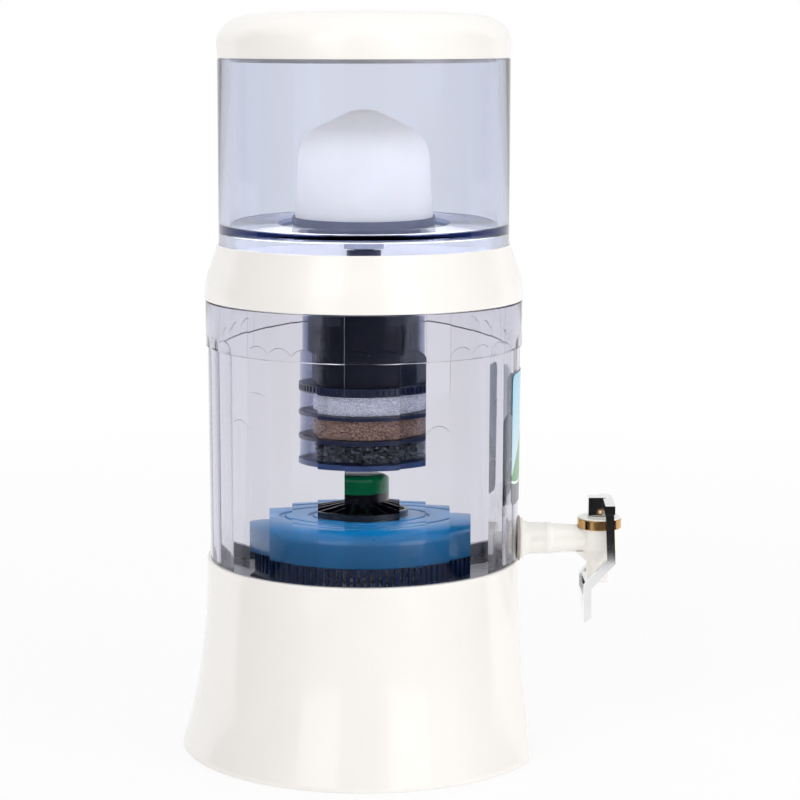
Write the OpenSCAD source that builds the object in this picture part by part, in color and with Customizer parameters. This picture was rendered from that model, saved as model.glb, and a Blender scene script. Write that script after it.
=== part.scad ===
// Gravity water filter: stand, fluted lower tank with a lever tap, collar, upper tank with a
// ceramic dome and a hanging filter cartridge, mineral tray and lid.
// Millimetres. +Z is up, the origin is on the tanks' axis at ground level, the tap points to +X.

/* [Stand] */
// Height of the stand's rim above the ground
stand_h = 146; // [136:1:160]
// How much wider the foot is than the stand's rim
foot_flare = 20.4; // [12:0.2:30]
// How much wider the rim is than the tank that stands in it
rim_overhang = 2.4; // [1.5:0.1:4]
// How far the flat front stands further out at the ground than at the rim
front_flare = 8; // [4:0.1:11]
// How far the flat front at the rim stands beyond the tap's seat
front_rim_lead = 1; // [0.4:0.1:1.6]
// Wall thickness of the stand
stand_wall = 3; // [2:0.2:3.2]
// Thickness of the deck under the tank
deck_t = 4; // [3:0.5:6]
// Radius of the post under the middle of the deck
post_r = 15; // [10:1:25]
// Thickness of the ribs under the deck
rib_t = 3; // [2:0.5:5]
// Height of the ribs' lower edge above the ground
rib_lift = 5; // [1:0.5:20]

/* [Lower tank] */
// Radius of the tank at the stand's rim
tank_foot_r = 117.2; // [115:0.1:118]
// How much wider the tank gets from there up to the band
tank_taper = 0.8; // [0:0.1:1.5]
// How far the smooth band at the top stands out
band_step = 1.3; // [0.5:0.1:2]
// Height of the tank from its underside to its rim
tank_h = 221; // [206:1:240]
// Depth that the tank sinks into the stand
spigot_h = 15; // [12:0.5:16]
// How much smaller the sunk part's radius is
spigot_inset = 3.6; // [3.2:0.1:4.4]
// Wall thickness of the tank at the stand's rim
tank_wall = 5.7; // [4.5:0.1:9]
// Thickness of the tank's floor
tank_floor_t = 4; // [3:0.5:5]
// Height of the smooth band
band_h = 34; // [28:1:40]
// Height of the rim that the collar covers
rim_h = 9.4; // [7:0.1:11]
// How far that rim steps back from the band
rim_step = 3.8; // [3:0.1:4.5]
// Number of flat facets round the inner wall
facet_count = 36; // [32:4:40]
// Width of the round strip left between two facets
facet_land = 1.5; // [1:0.1:4]
// Radius of the arch that ends a facet
facet_arch_r = 11; // [10.5:0.5:16]
// Angle by which the facets are turned from the tap
facet_phase = -2; // [-5:0.1:5]
// Drop from the tank's rim to the top of a long facet
facet_drop = 35; // [30:1:44]
// Extra drop of every fourth facet
short_facet_drop = 56; // [30:1:80]

/* [Label] */
// Height of the label above the tank's underside
label_rise = 60; // [50:1:90]
// Height of the label
label_h = 99; // [60:1:115]
// Half of the angle that the label spans
label_half_angle = 21; // [12:0.5:25]
// Thickness of the label
label_t = 0.35; // [0.2:0.05:0.8]
// Corner radius of the label
label_corner = 6; // [2:0.5:10]

/* [Collar] */
// Drop of the collar's skirt below the tank's rim
collar_drop = 8.6; // [6:0.1:9]
// Rise of the shelf above the tank's rim
shelf_rise = 16; // [14:0.5:20]
// Height of the guide wall round the upper tank
guide_h = 16.5; // [10:0.5:20]
// Thickness of the shelf
shelf_t = 4; // [3:0.5:5]
// Gap between the shelf's hole and the cartridge that passes it
passage_gap = 7.3; // [3:0.1:30]
// How much the skirt overhangs the tank's band
skirt_overhang = 0.9; // [0.5:0.1:2]

/* [Upper tank] */
// How much smaller the upper tank's radius is than the lower tank's
upper_inset = 8.2; // [7:0.1:11]
// Wall thickness of the upper tank
upper_wall = 7.8; // [5:0.1:9]
// Height of the upper tank
upper_h = 154.2; // [140:0.2:180]
// Rise of the floor above the tank's lower edge
floor_rise = 30.6; // [26:0.2:40]
// Thickness of the floor
upper_floor_t = 4.6; // [4:0.1:6]
// Width of the recess round the dome
recess_w = 10.8; // [6:0.2:20]
// Depth of the recess
recess_d = 2.4; // [1:0.1:3]

/* [Lid] */
// Height of the lid
lid_h = 34.8; // [28:0.2:45]
// How much the lid overhangs the upper tank
lid_overhang = 0.6; // [0.2:0.1:2]
// Height of the lid's straight side
lid_side_h = 11; // [6:0.5:14]
// Rise of the crown in the middle of the lid
lid_crown = 2; // [1:0.5:4]
// Width of the lid's round shoulder
lid_shoulder = 31; // [15:1:50]
// Wall thickness of the lid
lid_wall = 3; // [2:0.2:4]
// Depth of the ring that locates the lid
lid_spigot_h = 3.5; // [2:0.5:8]

/* [Dome] */
// Radius of the ceramic dome at its foot
dome_r = 52; // [46:0.5:56]
// Height of the ceramic dome
dome_h = 79.2; // [70:0.2:100]
// Wall thickness of the ceramic
dome_wall = 7; // [4:0.5:9]
// How much the dome's side leans in from its foot to the shoulder
dome_taper = 2.5; // [0:0.1:5]
// Radius of the dome's shoulder
dome_shoulder_r = 26; // [15:0.5:30]
// Radius of the dome's crown
dome_crown_r = 36; // [20:1:50]
// Slope between shoulder and crown, in degrees
dome_slope = 25; // [15:1:35]
// Width of the plastic ring round the dome
dome_ring_t = 1.8; // [1.2:0.1:3]
// Height of the plastic ring
dome_ring_h = 6.3; // [5:0.1:10]
// Thickness of the plate under the dome
dome_plate_t = 3; // [2:0.1:4]
// Radius of the threaded stem
stem_r = 8; // [7:0.5:10]
// Bore of the stem
stem_bore_r = 3.5; // [2:0.5:5]
// Length of the stem below the plate
stem_l = 24; // [21:0.5:27]
// Thickness of the seals
seal_t = 1; // [0.6:0.1:1.6]
// Width across the corners of the dome's nut
nut_d = 30; // [26:1:40]
// Height of the dome's nut
nut_h = 8; // [5:0.5:9]

/* [Cartridge] */
// Outer radius of the cartridge
cart_r = 46.7; // [40:0.1:55]
// Wall thickness of its clear shells
cart_wall = 4.2; // [2:0.1:6]
// Distance from the floor down to the cartridge's top
cart_drop = 26; // [24:0.5:34]
// Thickness of the cartridge's top cap
cap_t = 4; // [3:0.5:6]
// Gap between the cartridge's foot and the green cap under it
cart_gap = 8.7; // [2:0.1:20]
// Height of the ribbed screen under the carbon
ribbed_screen_h = 6; // [4:0.2:9]
// Thickness of the other screens
screen_t = 2.9; // [2:0.1:4]
// Height of one granule stage
stage_h = 15; // [10:0.2:17]
// Height of the cartridge's foot
cart_foot_h = 3.9; // [3:0.1:7]
// How far the screens stand out of the shells
screen_lip = 0.4; // [0.2:0.1:1]

/* [Mineral tray] */
// Gap between the blue tray and the tank's wall
tray_gap = 29.5; // [25:0.5:40]
// Height of the blue tray
tray_h = 26.5; // [20:0.1:30]
// Width of the tray's round shoulder
shoulder_w = 15; // [8:0.5:20]
// Height of the tray's round shoulder
shoulder_h = 10; // [5:0.5:16]
// Wall thickness of the tray
tray_wall = 3; // [2:0.2:4]
// Depth of the ring grooves in the tray's top
groove_d = 1.2; // [0.5:0.1:2]
// Height of the slotted basket under the tray
basket_h = 18; // [12:0.2:20]
// How much smaller the basket's radius is
basket_inset = 2; // [1:0.2:5]
// Number of slots in the basket
slot_count = 120; // [60:10:140]
// Width of one slot
slot_w = 2; // [1:0.1:2.4]

/* [Swirl disc] */
// Radius of the finned disc
fin_r = 35.5; // [28:0.5:40]
// Height of the disc's rim
fin_rim_h = 5; // [3:0.2:7]
// Rise of the fins from the rim to the hub
fin_rise = 6.5; // [4:0.1:7]
// Number of fins
fin_count = 24; // [12:2:36]
// Radius of the hub and its green cap
hub_r = 18; // [12:0.5:22]
// Height of the hub above the rim
hub_h = 12.5; // [7.5:0.1:14]
// Height of the green cap
green_h = 13.8; // [8:0.1:24]
// Radius of the green cap's top edge
green_edge = 4; // [2:0.5:6]

/* [Tap] */
// Height of the tap's tube above the stand's rim
tap_rise = 12; // [6:0.5:14]
// Distance from the tank's seat to the tap's barrel
tap_reach = 63.7; // [60:0.5:75]
// Radius of the threaded shank
shank_r = 8; // [7:0.2:9]
// Bore of the tap's tube
tube_bore_r = 5.5; // [4:0.2:6]
// Radius of the tube next to the tank
tube_r = 12.3; // [10.5:0.1:13]
// How much thinner the tube gets towards the barrel
tube_taper = 1.9; // [1:0.1:3]
// How much smaller than the gasket the flange's radius is
flange_inset = 1.7; // [0.5:0.1:3]
// Radius of the outer gasket
gasket_r = 17.3; // [16:0.1:18]
// Thickness of the outer gasket
gasket_t = 2.9; // [2:0.1:4]
// Thickness of the inner gasket
inner_gasket_t = 2.5; // [1.5:0.1:4]
// Thickness of the lock nut
lock_nut_t = 7; // [5:0.5:9]
// How much smaller than the brass ring the barrel's radius is
barrel_inset = 1.3; // [0.5:0.1:2]
// Wall thickness of the barrel's threaded end
barrel_wall = 2.4; // [2:0.1:3]
// Depth of the barrel's straight side below the tube's axis
barrel_drop = 7; // [5:0.5:9]
// Height of the cone under the barrel
cone_h = 9; // [6:0.5:12]
// Length of the spout below the cone
spout_l = 17.5; // [12:0.5:24]
// Radius of the spout
spout_r = 9.5; // [8.5:0.1:11]
// Bore of the spout
spout_bore_r = 7; // [6:0.1:7.5]
// Bore of the valve seat
seat_r = 5; // [4:0.1:6]
// Radius of the brass bonnet ring
bonnet_r = 16.8; // [16:0.1:18]
// Height of the brass bonnet ring
bonnet_h = 7.4; // [6:0.1:10]

/* [Lever] */
// Radius of the valve's rod
rod_r = 4; // [3:0.1:4.5]
// Outer radius of the hollow pivot pin
pin_r = 2.4; // [1.9:0.1:2.7]
// Bore of the pivot pin
pin_bore_r = 1.4; // [0.5:0.1:1.6]
// Height of the pin above the head's underside
heel_h = 3.3; // [3.1:0.1:5]
// Length of the heel in front of the pin, which bears on the bonnet
heel_x = 8; // [6:0.1:9]
// Length of the head behind the pin
head_back = 8.9; // [8:0.1:11]
// Height of the head
head_h = 14.4; // [13:0.1:18]
// Width of the head
head_w = 12.6; // [12.4:0.2:17]
// Distance from the pin to the crossbar
bar_lead = 2.1; // [1:0.1:4]
// Thickness of the crossbar
bar_t = 7.4; // [6:0.1:9]
// Height of the crossbar's underside above the head's underside
bar_rise = 5; // [4:0.1:7]
// How much lower the crossbar's top is at its ends
bar_fall = 2.8; // [0.5:0.1:4]
// Thickness of the arms along the tap
arm_t = 6.4; // [5:0.1:8]
// Width of one arm
arm_w = 7.8; // [5:0.1:9]
// Gap between the arms and the brass ring
yoke_gap = 0.8; // [0.4:0.1:2]
// How far the arms lean out from the crossbar down to the elbow
arm_lean = 1.9; // [0:0.1:4]
// Slant of the arms back from the elbow to the knee
arm_slant = 17; // [12:0.2:19]
// Height of the elbow above the knee
elbow_rise = 20.2; // [14:0.2:24]
// Height of the knee above the paddle
knee_rise = 8.6; // [4:0.2:12]
// Drop of the paddle's upper edge below the spout's mouth
paddle_drop = 7.5; // [5:0.5:12]
// Length of the paddle
paddle_l = 23; // [16:0.5:36]
// Thickness of the paddle
paddle_t = 5.4; // [4:0.1:7]
// Width of the paddle at its lower end
paddle_end_w = 24; // [14:0.5:44]

/* [Clearances] */
// Gap between pieces that lift off each other
lift_clear = 0.3; // [0.2:0.05:0.4]
// Gap round pieces that are fastened together
seat_clear = 0.4; // [0.2:0.05:0.6]
// Gap round threads and turning or sliding rods
run_clear = 0.05; // [0.02:0.01:0.09]
// Shadow gap between the stand and the tank
seam_gap = 0.4; // [0.2:0.1:1]

/* [Hidden] */
$fn = 96;

over = 1;               // overlap of a cutter past the face that it cuts

// Levels, from the ground up
deck_z = stand_h - spigot_h;
tank_floor_z = deck_z + tank_floor_t;
rim_z = deck_z + tank_h;
band_top_z = rim_z - rim_h;
band_z = band_top_z - band_h;
shelf_z = rim_z + shelf_rise;
upper_floor_z = shelf_z + floor_rise;
upper_under_z = upper_floor_z - upper_floor_t;
upper_top_z = shelf_z + upper_h;
recess_z = upper_floor_z - recess_d;
dome_plate_z = recess_z + seal_t;
dome_z = dome_plate_z + dome_plate_t;
cart_z = upper_under_z - cart_drop;
tray_z = tank_floor_z + basket_h;
tray_top_z = tray_z + tray_h;
fin_rim_z = tray_top_z + fin_rim_h;
hub_z = fin_rim_z + hub_h;
green_z = hub_z + green_h;
stage_pitch = stage_h + screen_t;
cart_foot_z = green_z + cart_gap;
ribbed_z = cart_foot_z + cart_foot_h + 3 * stage_h + 2 * screen_t;
canister_z = ribbed_z + ribbed_screen_h;

// Radii and places that follow from the sizes above
spigot_r = tank_foot_r - spigot_inset;
tank_top_r = tank_foot_r + tank_taper;
band_r = tank_top_r + band_step;
rim_r = band_r - rim_step;
tank_bore_r = tank_foot_r - tank_wall;
facet_w = 2 * tank_bore_r * sin(180 / facet_count) - facet_land;
facet_x = sqrt(tank_bore_r * tank_bore_r - facet_w * facet_w / 4);
stand_rim_r = tank_foot_r + rim_overhang;
foot_r = stand_rim_r + foot_flare;
flat_d = 0.9;           // depth of the tap's flat seat in the round wall
floor_fillet = 2;       // bevel between the tank's wall and its floor
seat_x = tank_foot_r - flat_d;
inner_seat_x = tank_bore_r - 2.6;
front_rim_x = seat_x + front_rim_lead;
front_foot_x = front_rim_x + front_flare;
front_power = 1.2;
flare_power = 2.2;
upper_r = tank_foot_r - upper_inset;
upper_bore_r = upper_r - upper_wall;
dome_ring_r = dome_r + dome_ring_t;
cart_bore_r = cart_r - cart_wall;
fill_r = cart_bore_r - seat_clear / 2;
tray_r = tank_bore_r - tray_gap;
basket_r = tray_r - basket_inset;
basket_wall = 2.5;
basket_floor_t = 2;

// Tap
tap_z = stand_h + tap_rise;
tap_x = seat_x + tap_reach;
tube_end_r = tube_r - tube_taper;
flange_r = gasket_r - flange_inset;
barrel_r = bonnet_r - barrel_inset;
seat_pad_r = gasket_r + 1.2;
inner_pad_r = gasket_r + 0.2;
shank_end_x = inner_seat_x - inner_gasket_t - lock_nut_t - 2;
barrel_z = tap_z - barrel_drop;
cone_z = barrel_z - cone_h;
spout_z = cone_z - spout_l;
valve_seat_z = tap_z - 4;
valve_lip = 0.6;
ring_z = tap_z + 8.6;
ring_top_z = ring_z + bonnet_h;
cap_flange_t = 1.2;
ring_wall = 2.1;
ring_bore_r = bonnet_r - ring_wall;
thread_r = ring_bore_r - lift_clear;
chamber_r = thread_r - barrel_wall;
boss_r = 9.5;
boss_top_z = ring_top_z + cap_flange_t + 0.5;
head_z = boss_top_z + lift_clear;
hinge_z = head_z + heel_h;
washer_t = 3.5;
washer_z = valve_seat_z + valve_lip + lift_clear;
stem_flange_z = washer_z + washer_t;
stem_flange_t = 2;
spring_top_z = ring_top_z - 2.3;
tongue_top = 4.3;       // the stem's flat tongue above the pin

function stand_r_at(z) = stand_rim_r
    + (foot_r - stand_rim_r) * pow(1 - z / stand_h, flare_power);
function front_x_at(z) = front_rim_x
    + (front_foot_x - front_rim_x) * pow(1 - z / stand_h, front_power);
function tank_r_at(z) = tank_foot_r
    + (tank_top_r - tank_foot_r) * (z - stand_h) / (band_z - stand_h);
function reversed(list) = [for (i = [len(list) - 1:-1:0]) list[i]];
// Points of an ellipse's arc about [cx, cz], from angle a0 to a1
function arc(cx, cz, rx, rz, a0, a1, n) =
    [for (i = [0:n]) let (a = a0 + (a1 - a0) * i / n) [cx + rx * cos(a), cz + rz * sin(a)]];

// A ring or disc round the Z axis, from z0 to z1
module ring(r, hole_r, z0, z1) {
    difference() {
        translate([0, 0, z0]) cylinder(r = r, h = z1 - z0);
        if (hole_r > 0) translate([0, 0, z0 - over]) cylinder(r = hole_r, h = z1 - z0 + 2 * over);
    }
}

// A rod along X at the height of the tap's tube
module rod_x(r, x0, x1) {
    translate([x0, 0, tap_z]) rotate([0, 90, 0]) cylinder(r = r, h = x1 - x0);
}

// A rod along the lever's hinge axis, that far to both sides
module hinge_rod(r, half) {
    translate([tap_x, half, hinge_z]) rotate([90, 0, 0]) cylinder(r = r, h = 2 * half);
}

// A front outline in Y and Z, thick from x0 to x1
module front_plate(points, x0, x1) {
    translate([x0, 0, 0]) rotate([90, 0, 90]) linear_extrude(x1 - x0) polygon(points);
}

// A side outline in X and Z, thick from y0 to y1
module side_plate(points, y0, y1) {
    translate([0, y1, 0]) rotate([90, 0, 0]) linear_extrude(y1 - y0) polygon(points);
}

// The stand's outer form or, with a wall thickness given, its inner one
module stand_form(inset, z0, z1) {
    n = 16;
    intersection() {
        rotate_extrude() polygon(concat([[0, z0]],
            [for (i = [0:n]) let (z = z0 + (z1 - z0) * i / n) [stand_r_at(z) - inset, z]],
            [[0, z1]]));
        side_plate(concat([[-2 * foot_r, z0]],
            [for (i = [0:n]) let (z = z0 + (z1 - z0) * i / n) [front_x_at(z) - inset, z]],
            [[-2 * foot_r, z1]]), -2 * foot_r, 2 * foot_r);
    }
}

module stand() {
    color("white") difference() {
        stand_form(0, 0, stand_h);
        stand_form(stand_wall, 0, deck_z - deck_t);
        // hole over the post and pocket of the tank
        cylinder(r = post_r - stand_wall, h = stand_h);
        translate([0, 0, deck_z]) cylinder(r = spigot_r + seat_clear, h = stand_h);
        // notch in the rim for the tap's seat
        rod_x(seat_pad_r + 2 * seat_clear, seat_x - flange_r, front_foot_x + over);
    }
}

// Cross of ribs under the deck, with a post in its middle that is a cup open at the top
module stand_ribs() {
    top_z = deck_z - deck_t;
    color("white") difference() {
        union() {
            cylinder(r = post_r, h = top_z);
            intersection() {
                stand_form(stand_wall + lift_clear, rib_lift, top_z);
                for (turn = [45, 135])
                    rotate([0, 0, turn]) translate([-foot_r, -rib_t / 2, 0])
                        cube([2 * foot_r, rib_t, stand_h]);
            }
        }
        translate([0, 0, stand_wall]) cylinder(r = post_r - stand_wall, h = stand_h);
    }
}

// One flat facet on the round inner wall, with an arched top
module facet(top_z) {
    foot_z = tank_floor_z - over;
    depth = 2;          // reaches into the wall
    translate([facet_x, 0, 0]) intersection() {
        translate([0, -facet_w / 2, foot_z]) cube([depth, facet_w, top_z - foot_z]);
        union() {
            translate([0, -facet_w, foot_z]) cube([depth, 2 * facet_w, top_z - facet_arch_r - foot_z]);
            translate([0, 0, top_z - facet_arch_r]) rotate([0, 90, 0])
                cylinder(r = facet_arch_r, h = depth);
        }
    }
}

module lower_tank() {
    color([0.75, 0.76, 0.88, 0.4]) difference() {
        union() {
            rotate_extrude() polygon([
                [0, deck_z], [spigot_r, deck_z], [spigot_r, stand_h + seam_gap],
                [tank_foot_r, stand_h + seam_gap], [tank_top_r, band_z], [band_r, band_z],
                [band_r, band_top_z], [rim_r, band_top_z], [rim_r, rim_z],
                [tank_bore_r, rim_z], [tank_bore_r, tank_floor_z + floor_fillet],
                [tank_bore_r - floor_fillet, tank_floor_z], [0, tank_floor_z]]);
            for (i = [0:facet_count - 1]) {
                is_short = i % 4 == 2;
                rotate([0, 0, facet_phase + i * 360 / facet_count])
                    facet(rim_z - facet_drop - (is_short ? short_facet_drop : 0));
            }
            rod_x(seat_pad_r, seat_x - 6, seat_x);
            rod_x(inner_pad_r, inner_seat_x, inner_seat_x + 5);
        }
        rod_x(shank_r + lift_clear, inner_seat_x - over, tank_top_r + over);
        rod_x(seat_pad_r, seat_x, tank_top_r + over);
    }
}

// Front of the label: an upright strip with round corners
module label_outline(half_w) {
    translate([label_corner - half_w, 0]) square([2 * (half_w - label_corner), label_h]);
    translate([-half_w, label_corner]) square([2 * half_w, label_h - 2 * label_corner]);
    for (y = [-1, 1], z = [label_corner, label_h - label_corner])
        translate([y * (half_w - label_corner), z]) circle(r = label_corner);
}

module tank_label() {
    z0 = deck_z + label_rise;
    z1 = z0 + label_h;
    half_w = tank_top_r * sin(label_half_angle);
    r0 = tank_r_at(z0) + lift_clear;
    r1 = tank_r_at(z1) + lift_clear;
    color("lightblue") intersection() {
        rotate_extrude() polygon([[r0, z0], [r0 + label_t, z0], [r1 + label_t, z1], [r1, z1]]);
        translate([tank_bore_r / 2, 0, z0]) rotate([90, 0, 90])
            linear_extrude(tank_bore_r) label_outline(half_w);
    }
}

module collar() {
    skirt_z = rim_z - collar_drop;
    skirt_r = band_r + skirt_overhang;
    crease_z = rim_z + 5;
    crease_r = skirt_r - 1.3;
    top_z = shelf_z + guide_h;
    top_r = upper_r + lift_clear + 1.1;
    waist_z = shelf_z - shelf_t;
    shelf_r = cart_r + passage_gap;
    // the hollow curve from the crease up to the top edge, as shares of its fall and rise
    curve = [[0.19, 0.22], [0.58, 0.55]];
    color("white") rotate_extrude() polygon(concat(
        [[rim_r + lift_clear, skirt_z], [skirt_r, skirt_z], [crease_r, crease_z]],
        [for (share = curve) [crease_r + share[0] * (top_r - crease_r),
            crease_z + share[1] * (top_z - crease_z)]],
        [[top_r, top_z - 0.5], [top_r - 0.5, top_z], [upper_r + lift_clear, top_z],
        [upper_r + lift_clear, shelf_z], [shelf_r, shelf_z], [shelf_r, waist_z],
        [crease_r - 5.5, waist_z], [crease_r - 4.5, rim_z + 3], [tank_bore_r + lift_clear, rim_z + 3],
        [tank_bore_r + lift_clear, rim_z], [rim_r + lift_clear, rim_z]]));
}

module upper_tank() {
    lip = 0.8;
    recess_r = dome_ring_r + recess_w;
    color([0.72, 0.78, 0.92, 0.4]) difference() {
        rotate_extrude() polygon([
            [0, recess_z], [recess_r, recess_z], [recess_r, upper_floor_z],
            [upper_bore_r, upper_floor_z], [upper_bore_r, upper_top_z],
            [upper_r - lip, upper_top_z], [upper_r - lip, upper_top_z - lip], [upper_r, upper_top_z - lip],
            [upper_r, shelf_z], [upper_bore_r, shelf_z], [upper_bore_r, upper_under_z], [0, upper_under_z]]);
        translate([0, 0, shelf_z]) cylinder(r = stem_r + seat_clear, h = upper_h);
    }
}

module lid() {
    r = upper_r + lid_overhang;
    spigot_out = upper_bore_r - seat_clear;
    spigot_in = spigot_out - lid_wall;
    side_z = upper_top_z + lid_side_h;
    edge_h = lid_h - lid_side_h - lid_crown;
    flat_r = r - lid_shoulder;
    n = 14;
    color("white") rotate_extrude() polygon(concat(
        [[spigot_in, upper_top_z - lid_spigot_h], [spigot_out, upper_top_z - lid_spigot_h],
            [spigot_out, upper_top_z], [r, upper_top_z]],
        arc(flat_r, side_z, lid_shoulder, edge_h, 0, 90, n),
        [[0, upper_top_z + lid_h], [0, upper_top_z + lid_h - lid_wall]],
        arc(flat_r, side_z, lid_shoulder - lid_wall, edge_h - lid_wall, 90, 0, n),
        [[r - lid_wall, upper_top_z + lid_wall], [spigot_in, upper_top_z + lid_wall]]));
}

// Half outline of the dome, shrunk by the given wall thickness
function dome_outline(t) =
    let (crown_z = dome_z + dome_h - dome_crown_r, edge = 90 - dome_slope,
        shoulder_x = dome_r - dome_taper - dome_shoulder_r,
        slope_x = shoulder_x + (dome_shoulder_r - dome_crown_r) * cos(edge),
        shoulder_z = crown_z - (dome_shoulder_r - dome_crown_r) * sin(edge) - slope_x * tan(dome_slope))
    concat([[dome_r - t, dome_z]],
        arc(shoulder_x, shoulder_z, dome_shoulder_r - t, dome_shoulder_r - t, 0, edge, 12),
        arc(0, crown_z, dome_crown_r - t, dome_crown_r - t, edge, 90, 5));

module ceramic_dome() {
    color("snow") rotate_extrude() polygon(concat(dome_outline(0), reversed(dome_outline(dome_wall))));
}

module dome_base() {
    color("slategray") rotate_extrude() polygon([
        [stem_bore_r, dome_plate_z - stem_l], [stem_r, dome_plate_z - stem_l], [stem_r, dome_plate_z],
        [dome_ring_r, dome_plate_z], [dome_ring_r, dome_plate_z + dome_ring_h],
        [dome_r + lift_clear, dome_plate_z + dome_ring_h], [dome_r + lift_clear, dome_z],
        [stem_bore_r, dome_z]]);
}

module dome_seal() {
    color("dimgray") ring(stem_r * 2.5, stem_r + seat_clear, recess_z, dome_plate_z);
}

module floor_washer() {
    color("dimgray") ring(nut_d / 2 + 1, stem_r + seat_clear, upper_under_z - seal_t, upper_under_z);
}

module dome_nut() {
    top_z = upper_under_z - seal_t;
    color("slategray") difference() {
        translate([0, 0, top_z - nut_h]) cylinder(d = nut_d, h = nut_h, $fn = 6);
        translate([0, 0, top_z - nut_h - over]) cylinder(r = stem_r + run_clear, h = nut_h + 2 * over);
    }
}

module cartridge_cap() {
    neck_top_z = upper_under_z - seal_t - nut_h - 1;
    stem_end_z = dome_plate_z - stem_l;
    color("midnightblue") difference() {
        union() {
            translate([0, 0, cart_z - cap_t]) cylinder(r = cart_r, h = cap_t);
            translate([0, 0, cart_z]) cylinder(r = stem_r + 5, h = neck_top_z - cart_z);
        }
        translate([0, 0, stem_end_z - seal_t]) cylinder(r = stem_r + run_clear, h = stem_l);
        translate([0, 0, cart_z - cap_t - over]) cylinder(r = stem_bore_r, h = stem_l);
    }
}

module cap_seal() {
    stem_end_z = dome_plate_z - stem_l;
    color("dimgray") ring(stem_r - seat_clear, stem_bore_r + seat_clear, stem_end_z - seal_t, stem_end_z);
}

module canister_shell() {
    color([0.35, 0.45, 0.75, 0.5]) ring(cart_r, cart_bore_r, canister_z, cart_z - cap_t);
}

module carbon_block() {
    color([0.03, 0.04, 0.12]) ring(fill_r, 0, canister_z, cart_z - cap_t);
}

// A plate that closes a stage of the cartridge, with radial slots for the water
module screen(z0, h) {
    slots = 24;
    slot_w = 1.2;
    inner = cart_bore_r * 0.35;
    length = cart_bore_r * 0.55;
    difference() {
        ring(cart_r + screen_lip, 0, z0, z0 + h);
        for (i = [0:slots - 1])
            rotate([0, 0, i * 360 / slots])
                translate([inner, -slot_w / 2, z0 - over]) cube([length, slot_w, h + 2 * over]);
    }
}

module ribbed_screen() {
    ribs = 90;
    gap_w = 1.6;
    color([0.05, 0.08, 0.2]) difference() {
        screen(ribbed_z, ribbed_screen_h);
        for (i = [0:ribs - 1])
            rotate([0, 0, i * 360 / ribs])
                translate([cart_r - screen_lip, -gap_w / 2, ribbed_z + over])
                    cube([2, gap_w, ribbed_screen_h - 2 * over]);
    }
}

module middle_screen() {
    color([0.05, 0.08, 0.2]) screen(ribbed_z - stage_pitch, screen_t);
}

module lower_screen() {
    color([0.05, 0.08, 0.2]) screen(ribbed_z - 2 * stage_pitch, screen_t);
}

// Clear wall of the granule stage of that number, counted from the top
module stage_shell(number) {
    z0 = ribbed_z - stage_h - number * stage_pitch;
    color([0.6, 0.65, 0.85, 0.5]) ring(cart_r, cart_bore_r, z0, z0 + stage_h);
}

module granules(number, tint) {
    z0 = ribbed_z - stage_h - number * stage_pitch;
    color(tint) ring(fill_r, 0, z0, z0 + stage_h);
}

module cartridge_foot() {
    color([0.1, 0.16, 0.4]) screen(cart_foot_z, cart_foot_h);
}

module tray_basket() {
    band = 1.2;         // solid strip above and below the slots
    inner_z = tank_floor_z + basket_floor_t;
    color([0.05, 0.09, 0.22]) difference() {
        ring(basket_r, 0, tank_floor_z, tray_z);
        translate([0, 0, inner_z]) cylinder(r = basket_r - basket_wall, h = basket_h);
        for (i = [0:slot_count - 1])
            rotate([0, 0, i * 360 / slot_count])
                translate([basket_r - basket_wall - over, -slot_w / 2, inner_z + band])
                    cube([basket_wall + 2 * over, slot_w, basket_h - basket_floor_t - 2 * band]);
    }
}

module tray_stones() {
    fill = 0.65;            // share of the tray's height that the stones reach up to
    color("lightgray") ring(basket_r - basket_wall - seat_clear, 0, tank_floor_z + basket_floor_t,
        tray_z + fill * (tray_h - shoulder_h));
}

module tray_lid() {
    flat_r = tray_r - shoulder_w;
    edge_z = tray_top_z - shoulder_h;
    n = 8;
    rings = [0.95, 0.8, 0.65];
    groove_w = 1.6;
    color("dodgerblue") difference() {
        rotate_extrude() polygon(concat(
            [[0, tray_top_z]],
            arc(flat_r, edge_z, shoulder_w, shoulder_h, 90, 0, n),
            [[tray_r, tray_z], [tray_r - tray_wall, tray_z]],
            arc(flat_r, edge_z, shoulder_w - tray_wall, shoulder_h - tray_wall, 0, 90, n),
            [[0, tray_top_z - tray_wall]]));
        for (share = rings)
            ring(flat_r * share, flat_r * share - groove_w, tray_top_z - groove_d, tray_top_z + over);
    }
}

module finned_disc() {
    fin_t = 1.4;
    color([0.06, 0.06, 0.08]) {
        ring(fin_r, 0, tray_top_z, tray_top_z + fin_rim_h / 2);
        ring(fin_r, fin_r - fin_t, tray_top_z, fin_rim_z);
        ring(hub_r, 0, tray_top_z, hub_z);
        for (i = [0:fin_count - 1])
            rotate([0, 0, i * 360 / fin_count])
                side_plate([[hub_r - 1, tray_top_z + 1], [fin_r - 1, tray_top_z + 1], [fin_r - 1, fin_rim_z],
                    [hub_r - 1, fin_rim_z + fin_rise]], -fin_t / 2, fin_t / 2);
    }
}

module green_cap() {
    wall = 2.5;
    color([0.0, 0.45, 0.25, 0.8]) rotate_extrude() polygon(concat(
        [[hub_r - wall, hub_z], [hub_r, hub_z]],
        arc(hub_r - green_edge, green_z - green_edge, green_edge, green_edge, 0, 90, 8),
        [[0, green_z], [0, green_z - wall], [hub_r - wall, green_z - wall]]));
}

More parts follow.
